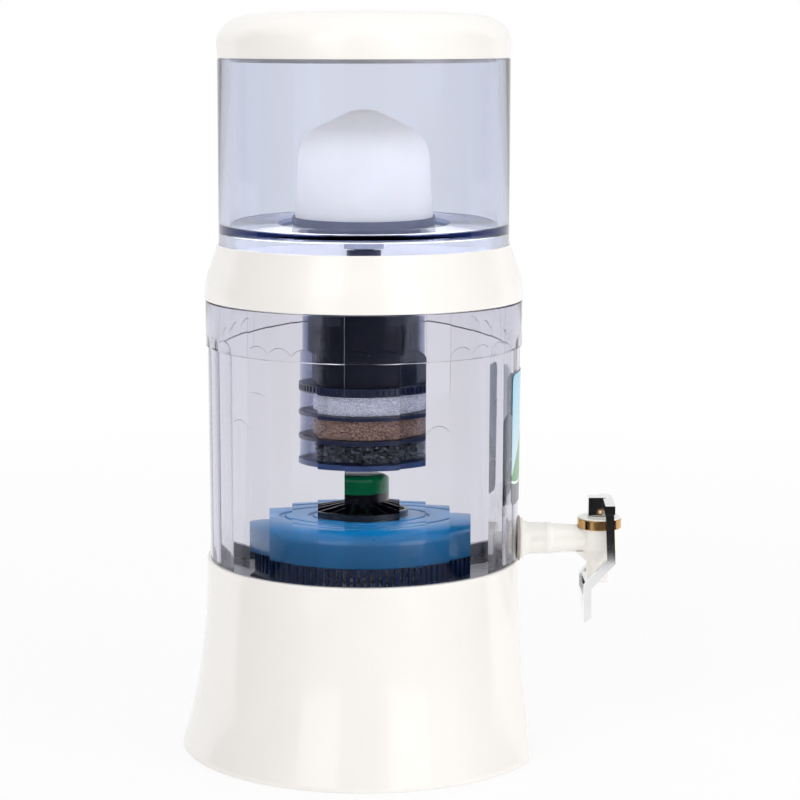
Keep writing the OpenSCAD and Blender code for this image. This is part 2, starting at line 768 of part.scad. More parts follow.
module tap_body() {
    neck_x = seat_x + gasket_t;
    band_x = neck_x + 19;
    web_z = tap_z - tube_end_r + 1;
    web_foot_z = cone_z - 2;
    color("white") difference() {
        union() {
            rod_x(shank_r, shank_end_x, neck_x + over);
            difference() {
                translate([neck_x, 0, tap_z]) rotate([0, 90, 0]) rotate_extrude() polygon([
                    [0, 0], [flange_r, 0], [flange_r, 1.8], [flange_r - 2, 3.2], [tube_r, 7],
                    [tube_r - 0.4, band_x - neck_x], [tube_r, band_x - neck_x + 1],
                    [tube_r - 0.3, band_x - neck_x + 5], [tube_r - 0.9, band_x - neck_x + 6],
                    [tube_end_r, tap_x - neck_x - barrel_r], [tube_end_r, tap_x - neck_x],
                    [0, tap_x - neck_x]]);
                // the tube gives way to the brass ring
                translate([tap_x, 0, ring_z]) cylinder(r = bonnet_r + lift_clear, h = bonnet_h);
            }
            // web between the tube and the spout
            side_plate([[tap_x - barrel_r - 3, web_z], [tap_x, web_z], [tap_x, web_foot_z],
                [tap_x - spout_r + 1, web_foot_z]], -7, 7);
            translate([tap_x, 0, 0]) rotate_extrude() polygon([
                [0, spout_z], [spout_r - 0.5, spout_z], [spout_r, cone_z], [barrel_r, barrel_z],
                [barrel_r, ring_z], [thread_r, ring_z], [thread_r, ring_top_z], [0, ring_top_z]]);
        }
        rod_x(tube_bore_r, shank_end_x - over, tap_x - chamber_r + over);
        translate([tap_x, 0, 0]) {
            translate([0, 0, valve_seat_z]) cylinder(r = chamber_r, h = ring_top_z - valve_seat_z + over);
            translate([0, 0, spout_z]) cylinder(r = seat_r, h = tap_z - spout_z);
            translate([0, 0, spout_z - over]) cylinder(r = spout_bore_r, h = valve_seat_z - 4 - spout_z);
        }
    }
    // raised lip of the valve seat
    color("white") translate([tap_x, 0, 0])
        ring(seat_r + 1.5, seat_r, valve_seat_z - over, valve_seat_z + valve_lip);
}

module tap_gasket() {
    color("rosybrown") difference() {
        rod_x(gasket_r, seat_x, seat_x + gasket_t);
        rod_x(shank_r + run_clear, seat_x - over, seat_x + gasket_t + over);
    }
}

module inner_gasket() {
    color("dimgray") difference() {
        rod_x(gasket_r - 2, inner_seat_x - inner_gasket_t, inner_seat_x);
        rod_x(shank_r + run_clear, inner_seat_x - inner_gasket_t - over, inner_seat_x + over);
    }
}

module lock_nut() {
    x1 = inner_seat_x - inner_gasket_t;
    color("white") difference() {
        translate([x1 - lock_nut_t, 0, tap_z]) rotate([0, 90, 0])
            cylinder(r = gasket_r - 2, h = lock_nut_t, $fn = 6);
        rod_x(shank_r + run_clear, x1 - lock_nut_t - over, x1 + over);
    }
}

module bonnet_ring() {
    color("goldenrod") translate([tap_x, 0, 0]) ring(bonnet_r, ring_bore_r, ring_z, ring_top_z);
}

// Screws into the barrel; its flange holds the brass ring down
module bonnet_cap() {
    plug_r = chamber_r - 2 * run_clear;
    flange_top_z = ring_top_z + cap_flange_t;
    color("white") translate([tap_x, 0, 0]) rotate_extrude() polygon([
        [rod_r + run_clear, spring_top_z], [plug_r, spring_top_z], [plug_r, ring_top_z],
        [bonnet_r - 0.4, ring_top_z], [bonnet_r - 0.4, ring_top_z + 0.4], [bonnet_r - 1.6, flange_top_z],
        [boss_r, flange_top_z], [boss_r, boss_top_z], [rod_r + run_clear, boss_top_z]]);
}

module valve_stem() {
    tongue = [7, 2 * rod_r];
    color("silver") difference() {
        translate([tap_x, 0, 0]) union() {
            ring(chamber_r - 2.5, 0, stem_flange_z, stem_flange_z + stem_flange_t);
            ring(2.4, 0, washer_z + 1, stem_flange_z + 0.5);
            intersection() {
                ring(rod_r, 0, stem_flange_z, hinge_z + tongue_top);
                translate([-tongue[0] / 2, -tongue[1] / 2, stem_flange_z])
                    cube([tongue[0], tongue[1], 2 * (hinge_z - stem_flange_z)]);
            }
            ring(rod_r, 0, stem_flange_z, boss_top_z - 1);
        }
        hinge_rod(pin_r + run_clear, rod_r + over);
    }
}

module seat_washer() {
    color("dimgray") translate([tap_x, 0, 0]) difference() {
        ring(chamber_r - 2.5, 0, washer_z, stem_flange_z);
        translate([0, 0, washer_z + 1 - seat_clear]) cylinder(r = 2.4 + run_clear, h = washer_t);
    }
}

// Compression spring round the rod, wound from the stem's flange to the cap
module stem_spring() {
    wire_r = 0.6;
    coil_r = rod_r + 2.4;
    turns = 4;
    sides = 8;
    per_turn = 16;
    z0 = stem_flange_z + stem_flange_t + wire_r;
    z1 = spring_top_z - wire_r;
    rings = turns * per_turn;
    points = [for (i = [0:rings], j = [0:sides - 1])
        let (a = 360 * i / per_turn, b = 360 * j / sides, r = coil_r + wire_r * cos(b))
        [r * cos(a), r * sin(a), z0 + (z1 - z0) * i / rings + wire_r * sin(b)]];
    walls = [for (i = [0:rings - 1], j = [0:sides - 1])
        let (k = (j + 1) % sides)
        [i * sides + j, (i + 1) * sides + j, (i + 1) * sides + k, i * sides + k]];
    start = [for (j = [0:sides - 1]) j];
    end = [for (j = [sides - 1:-1:0]) rings * sides + j];
    color("silver") translate([tap_x, 0, 0]) polyhedron(points, concat(walls, [start, end]));
}

module lever_pin() {
    half = head_w / 2 + seat_clear;
    color("goldenrod") difference() {
        hinge_rod(pin_r, half);
        hinge_rod(pin_bore_r, half + over);
    }
}

module lever() {
    half = bonnet_r + yoke_gap + arm_w;
    inner = half - arm_w;
    bar_x = tap_x + bar_lead;
    elbow_x = bar_x + arm_lean;
    knee_x = elbow_x - arm_slant;
    head_top_z = head_z + head_h;
    bar_z = head_z + bar_rise;
    bar_end_z = head_top_z - bar_fall;
    bar_half = half + 0.5;
    paddle_z = spout_z - paddle_drop;
    paddle_foot_z = paddle_z - paddle_l;
    paddle_foot_x = knee_x + 1.3;
    knee_z = paddle_z + knee_rise;
    elbow_z = knee_z + elbow_rise;
    head_x = tap_x + heel_x / 2;
    skew = 0.41;            // share of the arm's thickness by which its bends are offset
    slot_w = 2 * rod_r + 2 * lift_clear;
    arm = [[bar_x, bar_end_z - 1], [bar_x + arm_t, bar_end_z - 1],
        [elbow_x + arm_t, elbow_z - skew * arm_t], [knee_x + paddle_t, knee_z - skew * paddle_t],
        [knee_x + paddle_t, paddle_z - 1], [knee_x, paddle_z - 1], [knee_x, knee_z], [elbow_x, elbow_z]];
    color("silver") difference() {
        union() {
            side_plate([[tap_x - head_back, head_z], [tap_x + heel_x, head_z], [tap_x + heel_x, bar_z + 1],
                [head_x, bar_z + 1], [head_x, head_top_z], [tap_x - head_back, head_top_z]],
                -head_w / 2, head_w / 2);
            front_plate([[-bar_half, bar_z], [bar_half, bar_z], [bar_half, bar_end_z],
                [head_w / 2, head_top_z - 0.3], [-head_w / 2, head_top_z - 0.3], [-bar_half, bar_end_z]],
                bar_x, bar_x + bar_t);
            side_plate(arm, -half, -inner);
            side_plate(arm, inner, half);
            intersection() {
                side_plate([[knee_x, paddle_z], [knee_x + paddle_t, paddle_z],
                    [paddle_foot_x + paddle_t, paddle_foot_z + 4.5], [paddle_foot_x, paddle_foot_z]],
                    -half, half);
                front_plate([[-half, paddle_z], [half, paddle_z], [paddle_end_w / 2, paddle_foot_z],
                    [-paddle_end_w / 2, paddle_foot_z]], knee_x - over, tap_x);
            }
        }
        // room in the head for the stem's tongue
        translate([tap_x - 6.4, -slot_w / 2, head_z - over])
            cube([12.4, slot_w, heel_h + tongue_top + over + 1.6]);
        hinge_rod(pin_r + run_clear, half);
    }
}

stand();
stand_ribs();
lower_tank();
tank_label();
collar();
upper_tank();
lid();
ceramic_dome();
dome_base();
dome_seal();
floor_washer();
dome_nut();
cartridge_cap();
cap_seal();
canister_shell();
carbon_block();
ribbed_screen();
stage_shell(0);  // upper_stage_shell
granules(0, "whitesmoke");  // upper_granules
middle_screen();
stage_shell(1);  // middle_stage_shell
granules(1, "rosybrown");  // middle_granules
lower_screen();
stage_shell(2);  // lower_stage_shell
granules(2, [0.12, 0.12, 0.14]);  // lower_granules
cartridge_foot();
tray_basket();
tray_stones();
tray_lid();
finned_disc();
green_cap();
tap_body();
tap_gasket();
inner_gasket();
lock_nut();
bonnet_ring();
bonnet_cap();
valve_stem();
seat_washer();
stem_spring();
lever_pin();
lever();
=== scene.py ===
"""Looks of the gravity water filter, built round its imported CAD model.

Lengths are millimetres in the CAD frame until a mesh is made; Blender gets metres.
"""
import math
import random

import bmesh
import bpy
from mathutils import Euler, Matrix, Vector

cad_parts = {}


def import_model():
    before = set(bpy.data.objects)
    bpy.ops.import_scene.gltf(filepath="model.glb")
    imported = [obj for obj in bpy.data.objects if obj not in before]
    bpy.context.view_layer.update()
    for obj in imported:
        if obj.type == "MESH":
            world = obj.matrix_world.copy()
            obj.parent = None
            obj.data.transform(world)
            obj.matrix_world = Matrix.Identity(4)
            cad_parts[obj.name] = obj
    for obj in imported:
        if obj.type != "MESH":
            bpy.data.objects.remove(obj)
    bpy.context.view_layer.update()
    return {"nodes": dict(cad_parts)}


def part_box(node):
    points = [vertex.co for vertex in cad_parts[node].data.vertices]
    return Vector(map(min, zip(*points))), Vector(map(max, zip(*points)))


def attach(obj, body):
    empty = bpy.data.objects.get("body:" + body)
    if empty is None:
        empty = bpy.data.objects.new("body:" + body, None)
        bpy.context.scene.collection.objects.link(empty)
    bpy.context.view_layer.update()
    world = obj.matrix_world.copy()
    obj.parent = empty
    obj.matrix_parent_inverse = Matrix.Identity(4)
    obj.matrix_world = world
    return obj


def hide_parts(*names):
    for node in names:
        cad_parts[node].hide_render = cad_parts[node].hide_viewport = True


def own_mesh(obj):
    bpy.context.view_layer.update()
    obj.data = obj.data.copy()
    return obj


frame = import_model()
nodes = frame["nodes"]
MM = 0.001
SIDES = 192                     # steps round a turned piece
CORNER_STEPS = 5                # steps of a rounded corner
AXIS = 0.01                     # how near to its axis a turned outline starts
WELD, SLIVER = 1e-6, 1e-7       # metres: nearer vertices become one, shorter edges go
rng = random.Random(7)


# ---------------------------------------------------------------- places from the frame
def low(node):
    return [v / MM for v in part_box(node)[0]]


def high(node):
    return [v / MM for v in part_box(node)[1]]


STAND_H = high("stand")[2]
DECK_Z = low("lower_tank")[2]
TANK_RIM_Z = high("lower_tank")[2]
SHELF_Z = low("upper_tank")[2]
UPPER_TOP_Z = high("upper_tank")[2]
LID_TOP_Z = high("lid")[2]
TAP_Z = (low("tap_gasket")[2] + high("tap_gasket")[2]) / 2
SEAT_X = low("tap_gasket")[0]

# stand: its round wall, the flat front, and the deck with the post and ribs that carry it
FOOT_R, RIM_R = 140, 119.6
FRONT_FOOT_X, FRONT_RIM_X = 125.3, 117.3
STAND_WALL, DECK_T, POST_R, POST_BORE_R, RIB_T, RIB_LIFT = 3, 4, 15, 12, 3, 5
# lower tank: its sunk foot and the stand's pocket for it, wall, band, rim, facets, and seats for the tap
SPIGOT_R, POCKET_R = 113.6, 114
TANK_FOOT_R, TANK_TOP_R, BAND_R, TANK_RIM_R, TANK_BORE_R = 117.2, 118, 119.3, 115.5, 111.5
TANK_FLOOR_Z = DECK_Z + 4
BAND_TOP_Z = TANK_RIM_Z - 9.4
BAND_Z = BAND_TOP_Z - 34
FACETS, FACET_PHASE, FACET_ARCH_R = 36, -2, 11
FACET_TOP_Z, SHORT_FACET_TOP_Z = TANK_RIM_Z - 35, TANK_RIM_Z - 91
SHANK_HOLE_R, SEAT_PAD_R, INNER_PAD_R, INNER_SEAT_X = 8.3, 18.5, 17.5, 108.9
# collar's hole, upper tank's wall and floor with the recess for the dome, cartridge and its filling
SHELF_R, UPPER_R, UPPER_BORE_R = 54, 109, 101.2
UPPER_UNDER_Z, UPPER_FLOOR_Z, RECESS_Z, RECESS_R = SHELF_Z + 26, SHELF_Z + 30.6, SHELF_Z + 28.2, 64.6
CART_R, CART_BORE_R, FILL_R = 46.7, 42.5, 42.3


# ---------------------------------------------------------------- meshes
def make(name, vertices, faces, material, sharp=35):
    """An object from vertices in millimetres; edges sharper than that many degrees stay crisp."""
    mesh = bpy.data.meshes.new(name)
    mesh.from_pydata([(x * MM, y * MM, z * MM) for x, y, z in vertices], [], faces)
    obj = bpy.data.objects.new(name, mesh)
    bpy.context.collection.objects.link(obj)
    return finished(obj, material, sharp)


def finished(obj, material, sharp=35):
    mesh = obj.data
    bm = bmesh.new()
    bm.from_mesh(mesh)
    bmesh.ops.remove_doubles(bm, verts=bm.verts, dist=WELD)
    bmesh.ops.dissolve_degenerate(bm, edges=bm.edges, dist=SLIVER)
    bmesh.ops.recalc_face_normals(bm, faces=bm.faces)
    bm.to_mesh(mesh)
    bm.free()
    mesh.polygons.foreach_set("use_smooth", [True] * len(mesh.polygons))
    mesh.set_sharp_from_angle(angle=math.radians(sharp))
    mesh.materials.clear()
    mesh.materials.append(material)
    return obj


def applied(obj):
    """Replaces the object's mesh by the one that its modifiers give."""
    depsgraph = bpy.context.evaluated_depsgraph_get()
    mesh = bpy.data.meshes.new_from_object(obj.evaluated_get(depsgraph))
    obj.modifiers.clear()
    obj.data = mesh
    return obj


def combine(obj, other, operation):
    """Boolean of two objects; the other one goes."""
    modifier = obj.modifiers.new("boolean", "BOOLEAN")
    modifier.operation = operation
    modifier.solver = "EXACT"
    modifier.object = other
    applied(obj)
    bpy.data.objects.remove(other)
    return obj


def rounded(points):
    """An outline with round corners; a point's third value is how far its corner is cut back."""
    longest_share = 0.49        # of an edge, so that two corners on it never meet
    out = []
    count = len(points)
    for i, point in enumerate(points):
        corner = Vector(point[:2])
        back = point[2] if len(point) > 2 else 0
        if not back:
            out.append(tuple(corner))
            continue
        before = Vector(points[i - 1][:2]) - corner
        after = Vector(points[(i + 1) % count][:2]) - corner
        start = corner + before.normalized() * min(back, before.length * longest_share)
        end = corner + after.normalized() * min(back, after.length * longest_share)
        for k in range(CORNER_STEPS + 1):
            t = k / CORNER_STEPS
            out.append(tuple(start * (1 - t) ** 2 + corner * 2 * t * (1 - t) + end * t * t))
    return out


def arc(cx, cz, rx, rz, start, end, steps):
    """Points of an ellipse round (cx, cz) between two angles in degrees."""
    angles = [math.radians(start + (end - start) * i / steps) for i in range(steps + 1)]
    return [(cx + rx * math.cos(a), cz + rz * math.sin(a)) for a in angles]


def swept(count, column):
    """Vertices and faces of a ring of columns; column(i) gives the closed outline of (x, y, z) points."""
    vertices, faces, columns = [], [], []
    for i in range(count):
        points = column(i)
        columns.append(range(len(vertices), len(vertices) + len(points)))
        vertices += points
    length = len(columns[0])
    for i in range(count):
        a, b = columns[i], columns[(i + 1) % count]
        for k in range(length):
            n = (k + 1) % length
            faces.append((a[k], b[k], b[n], a[n]))
    return vertices, faces


def turned(name, outline, material, sharp=35, sides=SIDES):
    """Turns a closed outline of (r, z) points round the upright axis."""
    def column(i):
        a = 2 * math.pi * i / sides
        return [(r * math.cos(a), r * math.sin(a), z) for r, z in outline]
    return make(name, *swept(sides, column), material, sharp)


def rod(name, radius, x0, x1, material):
    """A cylinder on the tap tube's axis."""
    sides = 96
    outline = [(AXIS, x0), (radius, x0), (radius, x1), (AXIS, x1)]

    def column(i):
        a = 2 * math.pi * i / sides
        return [(x, r * math.cos(a), TAP_Z + r * math.sin(a)) for r, x in outline]
    return make(name, *swept(sides, column), material)


def slab(name, outline, y0, y1, material):
    """A side outline of (x, z) points, thick from y0 to y1."""
    count = len(outline)
    vertices = [(x, y, z) for y in (y0, y1) for x, z in outline]
    faces = [tuple(range(count)), tuple(reversed(range(count, 2 * count)))]
    faces += [(i, (i + 1) % count, count + (i + 1) % count, count + i) for i in range(count)]
    return make(name, vertices, faces, material)


def joined(objects):
    """Makes one object of several, keeping the first one's name and material."""
    bm = bmesh.new()
    for obj in objects:
        bm.from_mesh(obj.data)
    bm.to_mesh(objects[0].data)
    bm.free()
    for obj in objects[1:]:
        bpy.data.objects.remove(obj)
    objects[0].data.polygons.foreach_set("use_smooth", [True] * len(objects[0].data.polygons))
    return objects[0]


def from_cad(name, node, material, bevel=0.0, sharp=12):
    """A CAD node's own shape with broken edges, beside which flat faces stay flat."""
    flat_angle, edge_angle = math.radians(0.6), math.radians(28)    # between faces that merge, and at an edge
    obj = bpy.data.objects.new(name, nodes[node].data.copy())
    bpy.context.collection.objects.link(obj)
    bm = bmesh.new()
    bm.from_mesh(obj.data)
    bmesh.ops.remove_doubles(bm, verts=bm.verts, dist=2 * WELD)
    bmesh.ops.dissolve_limit(bm, angle_limit=flat_angle, verts=bm.verts, edges=bm.edges)
    bm.to_mesh(obj.data)
    bm.free()
    if bevel:
        modifier = obj.modifiers.new("bevel", "BEVEL")
        modifier.width = bevel * MM
        modifier.segments = 3
        modifier.limit_method = "ANGLE"
        modifier.angle_limit = edge_angle
        modifier.use_clamp_overlap = True
        applied(obj)
    return finished(obj, material, sharp)


def piece(obj, body, node):
    """Hands a finished piece to the frame, where it stands in for that CAD node."""
    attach(obj, body)
    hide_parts(node)


# ---------------------------------------------------------------- materials
class Paint:
    """A node material round one Principled shader."""

    def __init__(self, name, colour, roughness, **sockets):
        self.material = bpy.data.materials.new(name)
        self.material.use_nodes = True
        self.tree = self.material.node_tree
        self.shader = self.tree.nodes["Principled BSDF"]
        self.shader.inputs["Base Color"].default_value = (*colour, 1)
        self.shader.inputs["Roughness"].default_value = roughness
        for key, value in sockets.items():
            self.shader.inputs[key.replace("_", " ")].default_value = value
        self.colour = colour
        self.place = self.node("ShaderNodeTexCoord").outputs["Object"]

    def node(self, kind, **settings):
        node = self.tree.nodes.new(kind)
        for key, value in settings.items():
            if key in node.inputs:
                node.inputs[key].default_value = value
            else:
                setattr(node, key, value)
        return node

    def link(self, output, socket):
        self.tree.links.new(output, socket)
        return self

    def noise(self, size, detail=3):
        """Fractal noise whose features are about that many millimetres wide."""
        texture = self.node("ShaderNodeTexNoise", Scale=1 / (size * MM), Detail=detail)
        self.link(self.place, texture.inputs["Vector"])
        return texture.outputs["Fac"]

    def blend(self, factor, first, second, low_end=0.3, high_end=0.7):
        """Sets the colour to a mix of two by that factor."""
        ramp = self.node("ShaderNodeValToRGB")
        ramp.color_ramp.elements[0].position = low_end
        ramp.color_ramp.elements[1].position = high_end
        ramp.color_ramp.elements[0].color = (*first, 1)
        ramp.color_ramp.elements[1].color = (*second, 1)
        self.link(factor, ramp.inputs["Fac"])
        self.link(ramp.outputs["Color"], self.shader.inputs["Base Color"])
        return self

    def mottle(self, size, amount):
        """Varies the colour softly by that share."""
        first = [c * (1 - amount) for c in self.colour]
        second = [min(1, c * (1 + amount)) for c in self.colour]
        return self.blend(self.noise(size), first, second)

    def bump(self, height, strength, distance):
        """Raises the surface by that height texture, as if by that many millimetres."""
        bump = self.node("ShaderNodeBump", Strength=strength, Distance=distance * MM)
        self.link(height, bump.inputs["Height"])
        self.link(bump.outputs["Normal"], self.shader.inputs["Normal"])
        return self

    def rough(self, size, least, most):
        """Varies the roughness between two values, as handling and moulding do."""
        spread = self.node("ShaderNodeMapRange", **{"To Min": least, "To Max": most})
        self.link(self.noise(size), spread.inputs["Value"])
        self.link(spread.outputs["Result"], self.shader.inputs["Roughness"])
        return self

    def absorbing(self, colour, density):
        """Fills the piece with a tint that deepens with its thickness."""
        volume = self.node("ShaderNodeVolumeAbsorption", Color=(*colour, 1), Density=density)
        output = self.tree.nodes["Material Output"]
        return self.link(volume.outputs["Volume"], output.inputs["Volume"])


def clear(name, tint, absorbed, density, alpha=1.0):
    """Clear moulded plastic."""
    paint = Paint(name, tint, 0.02, IOR=1.5, Transmission_Weight=1.0, Alpha=alpha,
                  Specular_Tint=(0.22, 0.24, 0.34, 1))
    paint.absorbing(absorbed, density)
    return paint.bump(paint.noise(45, 1), 0.05, 0.4)


def white_gloss(name, colour):
    paint = Paint(name, colour, 0.22, Coat_Weight=0.6, Coat_Roughness=0.03, IOR=1.5)
    paint.mottle(60, 0.008).rough(30, 0.19, 0.27)
    return paint.bump(paint.noise(0.9, 2), 0.03, 0.03).material


WHITE = white_gloss("white_gloss_plastic", (0.92, 0.89, 0.85))
# the tap's copy of the white gloss plastic is lighter than the stand's: painted light, so that the tap on the
# shaded side still shows near white
TAP_PAINTED_LIGHTER_WHITE = white_gloss("tap_white_plastic_painted_lighter", (0.97, 0.94, 0.88))
TANK = clear("clear_lavender_plastic", (0.97, 0.97, 0.98), (0.28, 0.27, 0.48), 32).material
UPPER = clear("clear_violet_plastic", (0.97, 0.975, 0.99), (0.26, 0.34, 0.60), 31).material
SHELL = clear("clear_blue_plastic", (0.93, 0.94, 0.97), (0.30, 0.36, 0.60), 40, 0.2).material
CERAMIC = Paint("fired_ceramic", (0.86, 0.86, 0.88), 0.75, Subsurface_Weight=0.15,
                Subsurface_Scale=4 * MM)
CERAMIC.mottle(14, 0.02).bump(CERAMIC.noise(0.7, 4), 0.25, 0.12)
GREY_BLUE = Paint("grey_blue_plastic", (0.16, 0.175, 0.25), 0.42)
GREY_BLUE.mottle(9, 0.08).bump(GREY_BLUE.noise(0.8), 0.1, 0.05)
RUBBER = Paint("seal_rubber", (0.03, 0.03, 0.032), 0.7)
RUBBER.mottle(2, 0.2).bump(RUBBER.noise(0.4), 0.2, 0.05)
GASKET = Paint("gasket_rubber", (0.50, 0.44, 0.42), 0.6, Subsurface_Weight=0.2, Subsurface_Scale=2 * MM)
GASKET.mottle(3, 0.1).bump(GASKET.noise(0.5), 0.15, 0.05)
NAVY = Paint("navy_plastic", (0.004, 0.007, 0.026), 0.3, Coat_Weight=0.2)
NAVY.mottle(8, 0.2).bump(NAVY.noise(0.8), 0.08, 0.05)
BLUE_FOOT = Paint("blue_foot_plastic", (0.012, 0.028, 0.09), 0.3, Coat_Weight=0.2)
BLUE_FOOT.mottle(5, 0.25).bump(BLUE_FOOT.noise(0.8), 0.08, 0.05)
CARBON = Paint("carbon", (0.0005, 0.002, 0.012), 0.55)
CARBON.mottle(1.5, 0.5).bump(CARBON.noise(0.6, 4), 0.5, 0.15)
TRAY_BLUE = Paint("tray_blue_plastic", (0.0, 0.17, 0.42), 0.28, Subsurface_Weight=0.3,
                  Subsurface_Scale=8 * MM, Coat_Weight=0.3, Coat_Roughness=0.1)
TRAY_BLUE.mottle(25, 0.12).rough(20, 0.24, 0.34).bump(TRAY_BLUE.noise(0.8), 0.04, 0.04)
BASKET = Paint("basket_plastic", (0.005, 0.04, 0.16), 0.3, Transmission_Weight=0.35, IOR=1.5)
BASKET.mottle(7, 0.15).bump(BASKET.noise(0.9), 0.05, 0.04)
BLACK = Paint("black_plastic", (0.002, 0.002, 0.003), 0.14, Coat_Weight=0.3)
BLACK.mottle(6, 0.3).rough(8, 0.12, 0.24).bump(BLACK.noise(0.8), 0.04, 0.04)
GREEN = Paint("green_plastic", (0.0, 0.13, 0.05), 0.15, Transmission_Weight=0.3, IOR=1.5)
GREEN.mottle(12, 0.15).bump(GREEN.noise(10, 1), 0.05, 0.3)
GREEN.absorbing((0.0, 0.5, 0.22), 60)
CHROME = Paint("chrome", (0.82, 0.82, 0.83), 0.06, Metallic=1.0)
CHROME.mottle(12, 0.02).rough(6, 0.04, 0.10).bump(CHROME.noise(14, 1), 0.04, 0.2)
GOLD = Paint("gold_brass", (0.66, 0.40, 0.16), 0.14, Metallic=1.0)
GOLD.mottle(5, 0.05).rough(3, 0.10, 0.2).bump(GOLD.noise(9, 1), 0.04, 0.15)
STEEL = Paint("steel", (0.55, 0.55, 0.56), 0.3, Metallic=1.0)
STEEL.mottle(2, 0.06).rough(1.5, 0.24, 0.4)


def grain_paint(name, dark, pale, roughness, size):
    """Loose grains: each grain has its own shade, and a speckle of its own scale."""
    paint = Paint(name, dark, roughness, Coat_Weight=0.15)
    speckle_share = 0.35
    shade = paint.node("ShaderNodeNewGeometry").outputs["Random Per Island"]
    mix = paint.node("ShaderNodeMath", operation="MULTIPLY_ADD")
    mix.inputs[1].default_value = speckle_share
    paint.link(paint.noise(size, 2), mix.inputs[0])
    paint.link(shade, mix.inputs[2])
    paint.blend(mix.outputs["Value"], dark, pale, 0.25, 1.0)
    return paint.bump(paint.noise(size / 3, 3), 0.3, size / 8).material


WHITE_GRAIN = grain_paint("white_granules", (0.42, 0.42, 0.52), (1.0, 1.0, 1.0), 0.5, 0.8)
BROWN_GRAIN = grain_paint("brown_granules", (0.07, 0.025, 0.02), (0.60, 0.40, 0.30), 0.55, 0.9)
BLACK_GRAIN = grain_paint("black_granules", (0.003, 0.004, 0.006), (0.11, 0.12, 0.14), 0.12, 1.6)
STONE = grain_paint("pale_stones", (0.25, 0.25, 0.28), (0.85, 0.85, 0.88), 0.45, 1.5)


def label_film():
    """Generic printed film: a pale blue field with ripples over a green rise and a grey foot."""
    paint = Paint("label_film", (0.6, 0.8, 0.9), 0.35, Coat_Weight=0.3)
    lo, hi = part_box("tank_label")
    split = paint.node("ShaderNodeSeparateXYZ")
    paint.link(paint.place, split.inputs["Vector"])

    def maths(operation, first, second=0.0, third=0.0):
        node = paint.node("ShaderNodeMath", operation=operation)
        for socket, value in zip(node.inputs, (first, second, third)):
            if isinstance(value, (int, float)):
                socket.default_value = value
            else:
                paint.link(value, socket)
        return node.outputs["Value"]

    def mixed(factor, first, second):
        node = paint.node("ShaderNodeMix", data_type="RGBA")
        paint.link(factor, node.inputs["Factor"])
        for socket, value in ((node.inputs[6], first), (node.inputs[7], second)):
            if isinstance(value, tuple):
                socket.default_value = (*value, 1)
            else:
                paint.link(value, socket)
        return node.outputs[2]

    def wave(kind, turns, height, level):
        return maths("MULTIPLY_ADD", maths(kind, maths("MULTIPLY", across, turns)), height, level)

    # places on the film: across runs from -1 to 1, up from 0 to 1
    across = maths("MULTIPLY", split.outputs["Y"], 2 / (hi[1] - lo[1]))
    up = maths("MULTIPLY_ADD", split.outputs["Z"], 1 / (hi[2] - lo[2]), -lo[2] / (hi[2] - lo[2]))
    hill, foot, edge_line = wave("COSINE", 1.4, 0.42, 0.16), wave("SINE", 2.6, 0.05, 0.2), 0.02
    drop_up, upright, rings, ring_width, last_ring = 0.8, 1.6, 42, 0.55, 0.42
    above_drop = maths("MULTIPLY_ADD", up, upright, -drop_up * upright)
    from_drop = maths("SQRT", maths("ADD", maths("POWER", across, 2), maths("POWER", above_drop, 2)))
    ring = maths("GREATER_THAN", maths("SINE", maths("MULTIPLY", from_drop, rings)), ring_width)
    ripple = maths("MULTIPLY", ring, maths("LESS_THAN", from_drop, last_ring))
    sky = mixed(up, (0.72, 0.90, 0.95), (0.30, 0.62, 0.80))
    sky = mixed(ripple, sky, (0.95, 0.98, 1.0))
    grass = mixed(up, (0.06, 0.30, 0.10), (0.30, 0.55, 0.25))
    design = mixed(maths("LESS_THAN", up, hill), sky, grass)
    design = mixed(maths("LESS_THAN", up, maths("ADD", foot, edge_line)), design, (0.85, 0.95, 0.95))
    design = mixed(maths("LESS_THAN", up, foot), design, (0.13, 0.14, 0.17))
    paint.link(design, paint.shader.inputs["Base Color"])
    return paint.bump(paint.noise(0.6), 0.03, 0.03).material


# ---------------------------------------------------------------- white mouldings
def stand_radius(z):
    flare = 2.2
    return RIM_R + (FOOT_R - RIM_R) * (1 - z / STAND_H) ** flare


def stand_front(z):
    flare = 1.2
    return FRONT_RIM_X + (FRONT_FOOT_X - FRONT_RIM_X) * (1 - z / STAND_H) ** flare


def stand_wall_radius(angle, z, inset):
    """Radius of the round wall, cut by the flat front, with a softened corner."""
    round_r = stand_radius(z) - inset
    widest_cosine, soft = 0.3, 3.0              # the flat front ends well before that angle
    if math.cos(angle) < widest_cosine:
        return round_r
    flat_r = (stand_front(z) - inset) / math.cos(angle)
    share = max(soft - abs(round_r - flat_r), 0) / soft
    return min(round_r, flat_r) - share * share * soft / 4


